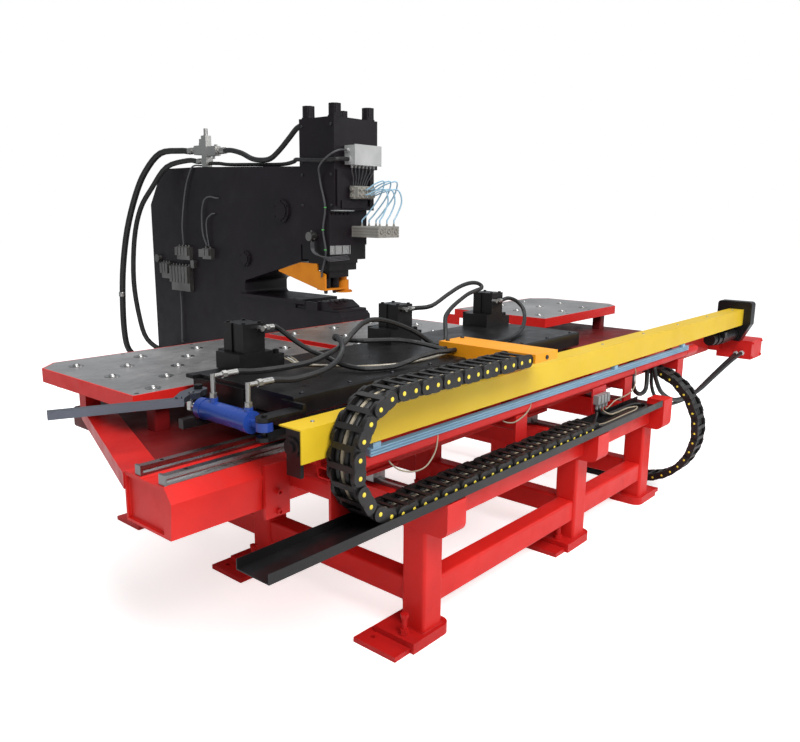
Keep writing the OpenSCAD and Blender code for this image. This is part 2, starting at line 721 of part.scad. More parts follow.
module x_chain_loop() {
    color([0.08, 0.08, 0.08]) on_x_chain() translate([0, 0, x_loop_r]) chain_turn(x_loop_links, x_loop_r);
}

module x_chain_upper() {
    color([0.08, 0.08, 0.08]) on_x_chain() translate([0, 0, 2 * x_loop_r]) chain_row(x_upper_links, 0);
}

// ---------- gantry ----------

// Outline of the X beam in (y, z): its front leans back and its top is sunk between the rails
module beam_outline() {
    polygon([[xbeam_y + 10, xbeam_z], [xbeam_rear, xbeam_z], [xbeam_rear, xbeam_top],
        [x_rail_y[1] - 17, xbeam_top], [x_rail_y[1] - 21, xbeam_top - 4], [x_rail_y[0] + 21, xbeam_top - 4],
        [x_rail_y[0] + 17, xbeam_top], [xbeam_y + 34, xbeam_top], [xbeam_y, xbeam_z + 105]]);
}

module beam_hollow(lap) {
    translate([xbeam_y + 42 - lap, xbeam_z + 8 - lap]) square([xbeam_d - 50 + 2 * lap,
        xbeam_h - 20 + 2 * lap]);
}

module x_beam() {
    color("red") {
        side_profile(xbeam_x0, xbeam_x1) difference() {
            beam_outline();
            beam_hollow(0);
        }
        for (x = [xbeam_x0 + 10, xbeam_x1 - 18]) side_profile(x, x + 8) beam_hollow(eps);
    }
}

// Plates and gussets that join the beam to the bearings on each row
module saddles() {
    color("firebrick") for (x = row_x) {
        span([x - 80, xbeam_y + 2, 548], [x + 80, -1390, xbeam_z]);
        for (s = [-80, 68]) side_profile(x + s, x + s + 12)
            polygon([[xbeam_rear, xbeam_z], [-1390, xbeam_z], [-1390, xbeam_z + 12],
                [xbeam_rear, xbeam_top - 30]]);
    }
    color("firebrick") for (x = row_x, s = [-54, 54], y = [-1500, -1420]) translate([x + s, y,
        xbeam_z]) cap_screw(10);
}

module y_bearings() {
    color("silver") for (x = row_x, y = [-1690, -1460])
        front_profile(y - 60, y + 60) translate([x, beam_top]) bearing_section(24, rail_h, 48);
}

module x_rails() {
    color("silver") for (y = x_rail_y) difference() {
        union() {
            side_profile(xbeam_x0 + 12, xbeam_x1 - 12) translate([y, xbeam_top]) rail_section(24, 28);
            for (x = [xbeam_x0 + 4, xbeam_x1 - 12]) span([x, y - 14, xbeam_top],
                [x + 8, y + 14, x_rail_top + 2]);
        }
        for (x = [xbeam_x0 + 80 : 160 : xbeam_x1 - 60]) translate([x, y, x_rail_top - 6])
            cylinder(d = 12, h = 10, $fn = 16);
    }
}

// Rail in front of the beam with its arms, the plates that hang the tray and the cover's posts
module front_member() {
    color("firebrick") {
        tube_x(cover_y + 30, 688.5, 60, 37, -1673, 1020);
        for (x = arm_x) {
            tube_y(x, 640, 80, 60, -1950, xbeam_y);
            span([x - 40, -1960, 528], [x + 40, -1950, 669]);
            span([x - 20, -1898, 670.4], [x + 20, -1876, 841.6]);
        }
        span([-1766, xbeam_y - 12, 532], [-1674, xbeam_y, 699]);
    }
    color("firebrick") for (z = [548, 610]) translate([-1720, xbeam_y - 12, z]) cap_screw_y(12);
    color("black") translate([1030, cover_y + 30, 688]) {
        rod_x(56, 150);
        translate([150 - eps, 0, 0]) rod_x(40, 30);
    }
}

// Aluminium bar with its two grooves, and the three limit switches on top of it
module switch_bar() {
    color("lightblue") side_profile(-1514, 1028) translate([cover_y - 4, 707]) difference() {
        square([24, 23]);
        for (z = [4, 14]) translate([-1, z]) square([5, 5]);
    }
    color("darkorange") for (x = [-1500, 120, 940]) span([x, cover_y - 2, 730], [x + 34, cover_y + 18, 746]);
}

module cable_tray() {
    color([0.1, 0.1, 0.1]) side_profile(-2009, 402)
        polygon([[-2090, 555], [-2090, 525], [-1960, 525], [-1960, 555], [-1963, 555], [-1963, 528],
            [-2087, 528],
            [-2087, 555]]);
}

module table_plate(outline) {
    translate([0, 0, table_z - table_t]) linear_extrude(table_t) polygon(inset(outline, 6));
}

module table_tops() {
    color([0.75, 0.75, 0.76]) difference() {
        union() {
            table_plate(left_table);
            table_plate(mid_table);
            table_plate(right_table);
        }
        for (p = balls) translate([p[0], p[1], table_z - 20]) cylinder(r = 22, h = 40);
    }
}

// Rim round each table with the flange that carries the steel plate
module table_edging() {
    color("red") for (t = [left_table, mid_table, right_table]) {
        translate([0, 0, table_z - rim_h]) linear_extrude(rim_h) difference() {
            polygon(t);
            polygon(inset(t, 6));
        }
        translate([0, 0, table_z - table_t - 8]) linear_extrude(8) difference() {
            polygon(inset(t, 5));
            polygon(inset(t, 34));
        }
    }
    color([0.1, 0.1, 0.1]) span([707, -640, 743], [710, -531, 804]);
}

module ball_transfers() {
    color("silver") for (p = balls) translate([p[0], p[1], table_z]) {
        difference() {
            union() {
                translate([0, 0, -table_t]) cylinder(r = 21.8, h = table_t);
                cylinder(r = 27, h = 2);
            }
            translate([0, 0, -4]) sphere(r = ball_r + 0.3);
        }
        translate([0, 0, -4]) sphere(r = ball_r);
    }
}

// Arms behind the beam, the decks on them, their posts and the bearers that the tables lie on
module table_frames() {
    bearer_top = table_z - table_t - 8;
    color("firebrick") {
        for (x = [-1740, -960, -600, 100, 800, 1520]) {
            tube_y(x, 640, 80, 80, xbeam_rear, -640);
            for (y = [-1180, -700]) translate([x, y, 688 + weld])
                linear_extrude(bearer_top - 40 - 688 - 2 * weld) tube_section(60, 60, 5);
        }
        for (x = [[-1855, -832], [-736, 162], [724, 1600]], y = [-1180, -700])
            tube_x(y, bearer_top - 20, 60, 40, x[0], x[1]);
        for (x = [[-790, 176], [724, 1640]])
            span([x[0] + weld, xbeam_rear + weld, 680 + weld], [x[1] - weld, -640, 688]);
        translate([0, 0, 680 + weld]) linear_extrude(8 - weld) polygon([[-2002, xbeam_rear + weld],
            [-790 - weld, xbeam_rear + weld], [-790 - weld, -640], [-1700, -640]]);
    }
}

// Folded brace from the beam's left end to the post under the left table's outer corner
module side_brace() {
    lean = atan(0.346);
    color("firebrick") {
        difference() {
            translate([-2083, xbeam_rear - 30, 700]) rotate([0, 0, -lean]) front_profile(0, 874)
                polygon([[0, -48], [5, -48], [5, -6], [105, -6], [105, 0], [0, 0]]);
            span([-2200, xbeam_rear - 90, 600], [-1900, xbeam_rear + weld, 720]);
            span([-1900, -741, 600], [-1600, -600, 720]);
        }
        span([-1806, -800, 700 + weld], [-1750, -752, table_z - table_t - weld]);
    }
}

module cover() {
    color("gold") side_profile(-1784, 1940) polygon([[cover_y, 748], [cover_y + 4, 748], [cover_y + 4, 842],
        [cover_y + 91, 842], [cover_y + 91, 846], [cover_y, 846]]);
}

// Housing of the toothed belt at the beam's right end, and the screw's bearing at its left end
module belt_housing() {
    color([0.1, 0.1, 0.1]) {
        side_profile(1940, 2014) {
            polygon([[-2008, 753], [-1950, 642], [-1800, 642], [-1800, 875], [-1820, 895], [-1988, 895],
                [-2008, 875]]);
            for (y = [-1988, -1820]) translate([y, 875]) circle(20);
        }
        side_profile(2014 - eps, 2020) polygon([[-1998, 762], [-1944, 652], [-1810, 652], [-1810, 885],
            [-1998, 885]]);
        for (p = [[-1988, 870], [-1820, 870], [-1988, 775], [-1820, 665], [-1935, 665]])
            translate([2020, p[0], p[1]]) rotate([90, 0, 90]) cap_screw(7);
        span([-1784, -1957.5, 707.4], [-1772, -1900, 841.5]);
        translate([-1790, -1926, 792]) rod_x(58, 6 + eps);
        translate([-1796, -1926, 792]) rod_x(30, 7);
    }
}

module servo_motor() {
    color([0.12, 0.12, 0.13]) {
        translate([1925, -1900, 692]) rod_x(100, 15);
        for (i = [0 : 9]) translate([1664 + i * 26, -1900, 692]) rod_x(92, 20);
        translate([1600, -1900, 692]) rod_x(82, 330);
        translate([1540, -1900, 692]) rod_x(70, 61);
        span([1630, -1960, 700], [1668, -1930, 732]);
    }
}

module right_end_box() {
    color("firebrick") {
        span([1994, -2016, 522], [2205, -1800, 641.6]);
        span([1940 + weld, -1830, 566], [1950, -1560, 641.6]);
        span([1950 - eps, -1830, 566], [1994 + eps, -1800, 641.6]);
        for (x = [2010, 2189], z = [536, 627]) translate([x, -2016, z]) cap_screw_y(8);
    }
}

// Plate on the tray's rear edge with the plugs of the carriage's cables
module connector_bracket() {
    color("firebrick") {
        span([-75, -1959, 560], [55, -1953, 670]);
        span([-75, -1953 - eps, 664], [55, -1930, 670]);
    }
    color([0.2, 0.2, 0.2]) for (i = [0 : 3]) {
        span([-66 + i * 30, -1985, 600], [-44 + i * 30, -1959, 640]);
        translate([-55 + i * 30, -1972, 600]) mirror([0, 0, 1]) cylinder(d = 14, h = 22);
    }
}

// ---------- carriage ----------

module carriage_beam() {
    color([0.09, 0.09, 0.1]) {
        side_profile(carriage_x, carriage_x1) polygon([[carriage_y[0] + 6, carriage_z[0]],
            [carriage_y[1], carriage_z[0]], [carriage_y[1], carriage_z[1]],
                [carriage_y[0] + 6, carriage_z[1]],
            [carriage_y[0], carriage_z[1] - 6], [carriage_y[0], carriage_z[0] + 6]]);
        for (y = x_rail_y) span([carriage_x + 20, y - 24, 765 - eps],
            [carriage_x1 - 20, y + 24, carriage_z[0] + eps]);
        for (y = x_rail_y, x = [carriage_x + 40, carriage_x + 800, carriage_x1 - 160])
            side_profile(x, x + 120) translate([y, xbeam_top]) bearing_section(24, 28, 58);
    }
}

module clamp_bases() {
    color([0.1, 0.1, 0.11]) for (c = clamp_x) translate([c, 0, 0]) {
        difference() {
            union() {
                span([-clamp_w / 2, clamp_y[0], carriage_z[1]], [clamp_w / 2, clamp_y[1], 931]);
                span([-clamp_w / 2, clamp_y[0], 931 - eps], [clamp_w / 4, clamp_y[1], clamp_top]);
                span([-62, clamp_y[1] - eps, 872], [62, clamp_rear, clamp_top]);
            }
            span([-jaw_w / 2 - 0.5, -1384, carriage_z[1] - 20], [jaw_w / 2 + 0.5, clamp_rear + 1, 939]);
        }
        span([-62, carriage_y[1], 839], [62, clamp_rear, pass_z]);
        for (y = [-1375, -1285]) translate([76, y, 931 - eps]) cap_screw(14);
    }
}

module clamp_cylinders() {
    color([0.1, 0.1, 0.11]) for (i = [0 : 2]) translate([clamp_x[i] + clamp_block_x[i], 0,
        clamp_top + weld]) {
        difference() {
            span([-46, -1390, 0], [46, -1280, 101]);
            for (s = [-46, 42]) span([s - 1, -1345, -1], [s + 5, -1325, 102]);
        }
        for (x = [-34, 34], y = [-1378, -1292]) translate([x, y, 101 - eps]) cylinder(d = 14, h = 5,
            $fn = 20);
    }
}

module clamp_jaw(i) {
    color("dimgray") translate([clamp_x[i], 0, 0]) side_profile(-jaw_w / 2, jaw_w / 2)
        polygon([[-1380, 915], [-1380, 936], [-1232, 936], [-1228, 930], [-1228, jaw_z + 3], [-1231, jaw_z],
            [-1268, jaw_z], [-1268, 915]]);
}
module clamp_jaw_1() { clamp_jaw(0); }
module clamp_jaw_2() { clamp_jaw(1); }
module clamp_jaw_3() { clamp_jaw(2); }

// Sheet box on the carriage that the X chain ends in, open below
module chain_bracket() {
    color("gold") {
        span([-795, -2088, 933], [-640, -1655, 937]);
        for (x = [-795, -644]) side_profile(x, x + 4) polygon([[-1655, 887.4], [-1780, 887.4], [-1792, 880],
            [-1985, 905], [-2088, 905], [-2088, 933 + eps], [-1655, 933 + eps]]);
        span([-795, -1659, 887.4], [-640, -1655, 934]);
        span([-795, -2088, 905], [-640, -2084, 934]);
    }
}

// Elbows and crimped ferrules where the hoses start
module hose_fittings() {
    starts = [[-1457, -1411, 1031], [-700, -653, 1030], [-32, 13, 1012]];
    color("silver") {
        for (f = starts) translate([f[0], -1402, f[2]]) {
            translate([-8, 11.8, 0]) rod_y(20, 24, 6);
            rod_x(15, f[1] - f[0]);
            translate([14, 0, 0]) rod_x(22, 12, 6);
            translate([26, 0, 0]) rod_x(21, f[1] - f[0] - 26, 20);
        }
        for (e = [[-1578, 940], [-1746, 939]]) translate([rod_x0, e[0], 875]) {
            cylinder(d = 24, h = 14, $fn = 6);
            cylinder(d = 15, h = e[1] - 875 + 7);
            translate([0, 0, e[1] - 875]) {
                rod_x(15, 88);
                translate([34, 0, 0]) rod_x(24, 14, 6);
                translate([48, 0, 0]) rod_x(21, 40, 20);
            }
        }
    }
}

module clamp_hoses() {
    color([0.05, 0.05, 0.05]) {
        hose([[-1701.5, -1578, 940], [-1690, -1578, 940], [-1632, -1580, 932], [-1518, -1590, 929],
            [-1419, -1600, 934], [-1347, -1600, 948],
            [-1262, -1590, 969], [-1189, -1580, 1010], [-1112, -1560, 1034], [-1034, -1550, 1034],
            [-957, -1560, 1015],
            [-888, -1580, 986], [-845, -1596, 962], [-796, -1612, 926],
            [-782, -1638, 916], [-782, -1654.2, 916]], 9.5, 4);
        hose([[-1701.5, -1746, 939], [-1690, -1746, 939], [-1614, -1744, 928], [-1526, -1740, 931],
            [-1461, -1720, 933], [-1390, -1690, 940],
            [-1332, -1655, 953], [-1291, -1625, 974], [-1220, -1530, 985], [-1165, -1455, 975],
            [-1128, -1424, 958],
            [-1092, -1440, 952], [-1057, -1500, 951], [-929, -1560, 945], [-872, -1625, 933],
            [-820, -1686, 914], [-808, -1690, 912], [-796, -1690, 912]], 9.5, 4);
        hose([[-1410.5, -1402, 1031], [-1400, -1402, 1031], [-1371, -1412, 1009], [-1340, -1438, 976],
            [-1309, -1480, 945], [-1290, -1540, 927],
            [-1283, -1590, 912], [-1274, -1640, 903], [-1248, -1690, 898], [-1202, -1720, 898],
            [-1147, -1735, 898],
            [-1077, -1735, 905], [-1013, -1735, 914], [-919, -1735, 918], [-853, -1735, 914],
            [-808, -1735, 912],
            [-796, -1735, 912]], 9.5, 4);
        hose([[-652.5, -1402, 1030], [-642, -1402, 1030], [-530, -1402, 1030], [-395, -1380, 1064],
            [-272, -1360, 1093], [-170, -1344, 1103],
            [-118, -1350, 1100], [-106, -1366, 1088], [-125, -1378, 1077], [-180, -1384, 1070],
            [-247, -1388, 1058],
            [-380, -1428, 1034], [-466, -1460, 1018], [-567, -1510, 998], [-640, -1565, 974],
            [-700, -1615, 945],
            [-735, -1640, 915], [-735, -1654.2, 915]], 9.5, 4);
        hose([[13.5, -1402, 1012], [24, -1402, 1012], [75, -1405, 1018], [112, -1430, 1002],
            [94, -1480, 969], [13, -1540, 931],
            [-104, -1600, 906], [-226, -1650, 899], [-361, -1690, 899], [-510, -1710, 905],
            [-628, -1712, 912], [-639.2, -1712, 912]], 9.5, 4);
    }
}

// Plates on the carriage's end for the arm's pivot and the cylinder's clevis
module arm_bracket() {
    color([0.1, 0.1, 0.11]) {
        translate([0, 0, 803]) linear_extrude(12) {
            polygon([[-1667, -1500], [-1667, -1290], [-1715, -1330], [-1768, -1405], [-1768, -1445],
                [-1715, -1500]]);
            translate(pivot) circle(34);
        }
        span([-1667, clevis_y - 25, 790], [-1655, -1290, 815]);
        for (y = [[clevis_y - 25, -1740], [-1560, -1290]]) span([-1667, y[0], 815 - eps], [-1655, y[1], 875]);
        translate([pivot[0], pivot[1], 815 - eps]) {
            cylinder(d = 44, h = 36);
            cylinder(d = 20, h = 58);
            translate([0, 0, 56]) cylinder(d = 30, h = 12, $fn = 6);
        }
        for (z = [790, 847]) translate([0, 0, z]) linear_extrude(12) {
            translate([rod_x0, clevis_y - 25]) square([-1667 - rod_x0 + eps, 54]);
            translate([rod_x0, clevis_y]) circle(25);
        }
        translate([rod_x0, clevis_y, 801]) cylinder(d = 16, h = 64);
        span([-1875, -1541, 786], [-1666, -1517, 798]);
        span([-1875, -1541, 798 - eps], [-1830, -1517, 815]);
        span([-1685, -1315, 876], [-1655, -1275, 888]);
    }
}

module arm_cylinder() {
    color("royalblue") translate([rod_x0, 0, 832]) difference() {
        union() {
            translate([0, -1515, 0]) rod_y(62, 243);
            translate([0, -1507, 0]) rod_y(34, 10);
            translate([0, -1515, 0]) rod_y(66, 26);
            translate([0, -1730, 0]) rod_y(66, 32);
            for (y = [-1578, -1746]) translate([0, y, 0]) cylinder(d = 26, h = 42.8);
            translate([0, -1760, 0]) rod_y(24, 50);
            translate([0, clevis_y, -13]) cylinder(d = 50, h = 26);
        }
        translate([0, -1500, 0]) rod_y(19, 110);
        translate([0, clevis_y, -14]) cylinder(r = 8.4, h = 30);
    }
}

// Bar, crank plate and hub of the locating arm, drawn from its pivot
module locating_arm() {
    color([0.45, 0.47, 0.5]) translate([pivot[0], pivot[1], arm_z]) rotate([0, 0, arm_rest]) difference() {
        union() {
            span([73.8, 118.6, 0], [73.8 + arm_bar_l, 118.6 + arm_bar_s, arm_bar_s]);
            linear_extrude(18) {
                polygon([[10, -26], [60, 20], [100, 105], [100, 142], [73.8, 142], [66, 112], [40, 66],
                    [8, 60],
                    [-26, -6]]);
                circle(28);
            }
            translate([86, 130.6, 17]) cylinder(d = 20, h = 12, $fn = 6);
        }
        translate([0, 0, -1]) cylinder(r = 10.4, h = 30);
        rotate([0, 0, 55.9]) translate([48, 0, -1]) linear_extrude(30) {
            translate([0, -8]) square([14, 16]);
            for (r = [0, 14]) translate([r, 0]) circle(8);
        }
    }
}

// Rod of the arm's cylinder with its eye and the pin that works in the crank's slot
module arm_rod() {
    color("silver") translate([rod_x0, rod_pin_y, 832]) {
        translate([0, 0, -14]) cylinder(d = 28, h = 28);
        translate([0, 0, 14 - eps]) cylinder(d = 12, h = 28);
        translate([0, -10, 0]) rod_y(18, 125);
    }
}

feet();
anchor_bolts();
legs();
y_beams();
frame_rails();
y_guide_rails();
cframe_body();
head_block();
tie_rod_nuts();
punch_housing();
junction_box();
valve_block();
selector_bodies();
stripper();
die_holder();
dies();
hydraulic_manifold();
side_valves();
pressure_hoses();
signal_cables();
y_chain_tray();
y_chain_lower();
x_beam();
saddles();
y_bearings();
x_rails();
front_member();
switch_bar();
cable_tray();
table_tops();
table_edging();
ball_transfers();
table_frames();
side_brace();
cover();
belt_housing();
servo_motor();
right_end_box();
connector_bracket();
x_chain_lower();
carriage_beam();
clamp_bases();
clamp_cylinders();
chain_bracket();
clamp_hoses();
hose_fittings();
arm_bracket();
arm_cylinder();
clamp_jaw_1();
clamp_jaw_2();
clamp_jaw_3();
locating_arm();
arm_rod();
x_chain_loop();
x_chain_upper();
y_chain_loop();
y_chain_upper();
punch_1();
punch_2();
punch_3();
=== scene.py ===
"""Looks of the CNC plate punching machine: materials, and the small detail that rides on the CAD bodies."""

import json
import math

import bpy
from mathutils import Matrix, Vector


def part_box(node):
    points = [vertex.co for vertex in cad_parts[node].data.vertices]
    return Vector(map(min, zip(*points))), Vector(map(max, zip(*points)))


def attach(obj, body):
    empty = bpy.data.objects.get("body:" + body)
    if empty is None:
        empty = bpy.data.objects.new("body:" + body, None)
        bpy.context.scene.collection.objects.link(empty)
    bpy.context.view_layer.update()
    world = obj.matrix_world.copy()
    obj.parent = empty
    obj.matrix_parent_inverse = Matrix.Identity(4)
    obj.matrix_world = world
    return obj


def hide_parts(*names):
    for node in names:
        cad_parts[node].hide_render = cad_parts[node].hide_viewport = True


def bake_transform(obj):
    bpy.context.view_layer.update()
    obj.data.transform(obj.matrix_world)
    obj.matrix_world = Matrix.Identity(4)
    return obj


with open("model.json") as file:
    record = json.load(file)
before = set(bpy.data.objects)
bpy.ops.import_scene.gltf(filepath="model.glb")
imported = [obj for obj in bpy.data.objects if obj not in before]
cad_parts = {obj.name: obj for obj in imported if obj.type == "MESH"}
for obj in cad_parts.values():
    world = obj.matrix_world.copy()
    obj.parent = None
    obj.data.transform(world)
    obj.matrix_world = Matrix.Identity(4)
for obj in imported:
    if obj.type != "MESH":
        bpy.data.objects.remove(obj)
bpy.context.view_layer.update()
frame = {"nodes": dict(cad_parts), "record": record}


# ---------- camera, floor, light ----------

def make_camera():
    """The camera: 1.42 m above the floor, left of the machine's front, looking along +X and +Y."""
    data = bpy.data.cameras.new("camera")
    data.sensor_width, data.lens = 36.0, 34.02
    data.clip_end = 60
    cam = bpy.data.objects.new("camera", data)
    bpy.context.collection.objects.link(cam)
    heading, pitch, roll = math.radians(40.94), math.radians(11.74), math.radians(0.54)
    ahead = Vector((math.cos(heading), math.sin(heading), 0))
    look = ahead * math.cos(pitch) - Vector((0, 0, math.sin(pitch)))
    right = Vector((ahead.y, -ahead.x, 0))
    up = right.cross(look)
    side = math.cos(roll) * right + math.sin(roll) * up
    top = -math.sin(roll) * right + math.cos(roll) * up
    place = Matrix((side, top, -look)).transposed().to_4x4()
    place.translation = (-3.090, -3.446, 1.420)
    cam.matrix_world = place
    bpy.context.scene.camera = cam


def make_area(name, place, target, size, power):
    """A rectangular soft light that points at a target; sizes in metres, power in watts."""
    data = bpy.data.lights.new(name, "AREA")
    data.shape, data.size, data.size_y = "RECTANGLE", size[0], size[1]
    data.energy = power
    lamp = bpy.data.objects.new(name, data)
    bpy.context.collection.objects.link(lamp)
    lamp.location = place
    lamp.rotation_euler = (Vector(target) - Vector(place)).to_track_quat("-Z", "Y").to_euler()


def make_floor():
    """A plain pale floor that shades softly near the machine and runs out to white in the camera's view."""
    mesh = bpy.data.meshes.new("floor")
    mesh.from_pydata([(-30, -30, 0), (30, -30, 0), (30, 30, 0), (-30, 30, 0)], [], [(0, 1, 2, 3)])
    floor = bpy.data.objects.new("floor", mesh)
    bpy.context.collection.objects.link(floor)
    mat = bpy.data.materials.new("floor")
    mat.use_nodes = True
    nodes, links = mat.node_tree.nodes, mat.node_tree.links
    nodes.clear()
    out = nodes.new("ShaderNodeOutputMaterial")
    diffuse = nodes.new("ShaderNodeBsdfDiffuse")
    diffuse.inputs["Color"].default_value = (0.93, 0.93, 0.93, 1)
    white = nodes.new("ShaderNodeEmission")
    white.inputs["Color"].default_value = (1, 0.98, 0.96, 1)
    white.inputs["Strength"].default_value = 0.66
    both = nodes.new("ShaderNodeAddShader")
    path = nodes.new("ShaderNodeLightPath")
    pick = nodes.new("ShaderNodeMixShader")
    links.new(diffuse.outputs[0], both.inputs[0])
    links.new(white.outputs[0], both.inputs[1])
    links.new(path.outputs["Is Camera Ray"], pick.inputs[0])
    links.new(diffuse.outputs[0], pick.inputs[1])
    links.new(both.outputs[0], pick.inputs[2])
    links.new(pick.outputs[0], out.inputs[0])
    mesh.materials.append(mat)


def make_world():
    """Even studio light; the camera itself sees white behind the machine."""
    world = bpy.data.worlds.new("studio")
    bpy.context.scene.world = world
    world.use_nodes = True
    nodes, links = world.node_tree.nodes, world.node_tree.links
    nodes.clear()
    out = nodes.new("ShaderNodeOutputWorld")
    soft = nodes.new("ShaderNodeBackground")
    soft.inputs["Color"].default_value = (0.9, 0.95, 1.0, 1)
    soft.inputs["Strength"].default_value = 0.42
    white = nodes.new("ShaderNodeBackground")
    white.inputs["Color"].default_value = (1, 1, 1, 1)
    white.inputs["Strength"].default_value = 1.0
    path = nodes.new("ShaderNodeLightPath")
    pick = nodes.new("ShaderNodeMixShader")
    links.new(path.outputs["Is Camera Ray"], pick.inputs[0])
    links.new(soft.outputs[0], pick.inputs[1])
    links.new(white.outputs[0], pick.inputs[2])
    links.new(pick.outputs[0], out.inputs[0])
    bpy.context.scene.view_settings.view_transform = "Standard"


make_camera()
make_floor()
make_world()
make_area("key", (-2.2, -5.8, 5.5), (0, 0, 0.7), (4, 3), 380)
make_area("fill", (3.5, -5.5, 3.5), (0, -0.8, 0.7), (4, 3), 95)
make_area("top", (0, 0, 6.5), (0, 0, 0), (6, 5), 210)


# ---------- materials ----------

class Tree:
    """A short way to write a material's nodes."""

    def __init__(self, name):
        self.mat = bpy.data.materials.new(name)
        self.mat.use_nodes = True
        self.nodes, self.links = self.mat.node_tree.nodes, self.mat.node_tree.links
        self.nodes.clear()
        self.out = self.add("OutputMaterial")
        self.coords = self.add("TexCoord").outputs["Object"]

    def add(self, kind, **inputs):
        node = self.nodes.new("ShaderNode" + kind)
        for key, value in inputs.items():
            self.put(node.inputs[key.replace("_", " ")], value)
        return node

    def put(self, socket, value):
        if isinstance(value, bpy.types.NodeSocket):
            self.links.new(value, socket)
        elif isinstance(value, tuple) and len(value) == 3 and socket.type == "RGBA":
            socket.default_value = (*value, 1)
        else:
            socket.default_value = value

    def noise(self, scale, detail=3.0, rough=0.55, stretch=None):
        where = self.coords
        if stretch:
            where = self.add("Mapping", Vector=self.coords, Scale=stretch).outputs[0]
        node = self.add("TexNoise", Vector=where, Scale=scale, Detail=detail, Roughness=rough)
        return node.outputs["Fac"]

    def ramp(self, value, low, high, start=0.0, end=1.0):
        node = self.add("MapRange", Value=value)
        for key, number in (("From Min", low), ("From Max", high), ("To Min", start), ("To Max", end)):
            node.inputs[key].default_value = number
        return node.outputs[0]

    def mix(self, factor, a, b):
        node = self.nodes.new("ShaderNodeMix")
        node.data_type, node.blend_type = "RGBA", "MIX"
        self.put(node.inputs[0], factor)
        self.put(node.inputs[6], a)
        self.put(node.inputs[7], b)
        return node.outputs[2]

    def maths(self, kind, a, b=0.0):
        node = self.nodes.new("ShaderNodeMath")
        node.operation = kind
        self.put(node.inputs[0], a)
        self.put(node.inputs[1], b)
        return node.outputs[0]

    def bump(self, height, strength, distance):
        return self.add("Bump", Height=height, Strength=strength, Distance=distance).outputs[0]

    def box_mask(self, low, high):
        """1 inside a box given by its low and high corners in metres, 0 outside."""
        parts = self.add("SeparateXYZ", Vector=self.coords).outputs
        mask = 1.0
        for value, a, b in zip(parts, low, high):
            mask = self.maths("MULTIPLY", self.maths("GREATER_THAN", value, a), mask)
            mask = self.maths("MULTIPLY", self.maths("LESS_THAN", value, b), mask)
        return mask

    def shader(self, **inputs):
        return self.add("BsdfPrincipled", **inputs).outputs[0]

    def close(self, shader):
        self.links.new(shader, self.out.inputs[0])
        return self.mat


def enamel(t, colour, dark, rough=0.32, coat=0.03, wear=(0.25, 0.22, 0.2), wear_amount=0.5, dust=0.25,
           shine=0.2):
    """Sprayed enamel: orange peel, slow tone changes, dust on it and chips down to primer."""
    tone = t.ramp(t.noise(2.3, 4), 0.3, 0.7)
    body = t.mix(tone, dark, colour)
    grime = t.ramp(t.noise(7.0, 6, 0.65), 0.52, 0.78, 0.0, dust)
    body = t.mix(grime, body, tuple(c * 0.45 + 0.02 for c in colour))
    chips = t.ramp(t.noise(38.0, 5, 0.7), 0.70, 0.74, 0.0, wear_amount)
    body = t.mix(chips, body, wear)
    roughness = t.ramp(t.noise(14.0, 3), 0.25, 0.75, rough - 0.07, rough + 0.13)
    return t.shader(Base_Color=body, Roughness=roughness, Specular_IOR_Level=shine, Coat_Weight=coat,
                    Coat_Roughness=0.18, Normal=t.bump(t.noise(190.0, 2), 0.12, 0.002))


def metal(t, colour, rough, stretch, wear_dark=0.55, streak=90.0):
    """Ground or brushed steel: fine lines along one direction, cloudy tone and finger marks."""
    lines = t.noise(streak, 4, 0.6, stretch)
    cloud = t.ramp(t.noise(3.1, 5, 0.6), 0.3, 0.75)
    body = t.mix(cloud, tuple(c * wear_dark for c in colour), colour)
    body = t.mix(t.ramp(lines, 0.3, 0.7, 0.0, 0.35), body, tuple(min(1, c * 1.25) for c in colour))
    roughness = t.ramp(lines, 0.25, 0.75, rough - 0.08, rough + 0.12)
    return t.shader(Base_Color=body, Metallic=1.0, Roughness=roughness, Normal=t.bump(lines, 0.15, 0.001))


def moulded(t, colour, rough=0.45, grain=220.0, tone=0.7, dust=0.14):
    """Moulded plastic or rubber with a fine spark-eroded grain and a little handling dust."""
    cloud = t.ramp(t.noise(5.0, 4), 0.3, 0.7)
    body = t.mix(cloud, tuple(c * tone for c in colour), colour)
    body = t.mix(t.ramp(t.noise(16.0, 6, 0.7), 0.55, 0.85, 0.0, dust), body, (0.24, 0.23, 0.22))
    roughness = t.ramp(t.noise(30.0, 3), 0.3, 0.7, rough - 0.06, rough + 0.12)
    return t.shader(Base_Color=body, Roughness=roughness, Normal=t.bump(t.noise(grain, 2), 0.2, 0.0012))


def one(name, kind, *args, **more):
    """A material of one finish."""
    t = Tree(name)
    return t.close(kind(t, *args, **more))


def two(name, first, second, *zones):
    """A material of two finishes. The second is inside the zones, boxes of (low corner, high corner)."""
    t = Tree(name)
    a = first[0](t, *first[1:])
    b = second[0](t, *second[1:])
    inside = 0.0
    for low, high in zones:
        inside = t.maths("MAXIMUM", t.box_mask(low, high), inside)
    both = t.nodes.new("ShaderNodeMixShader")
    t.put(both.inputs[0], inside)
    t.links.new(a, both.inputs[1])
    t.links.new(b, both.inputs[2])
    return t.close(both.outputs[0])


PRESS_TONES = (0.0125, 0.0085, 0.0120), (0.006, 0.0042, 0.006)

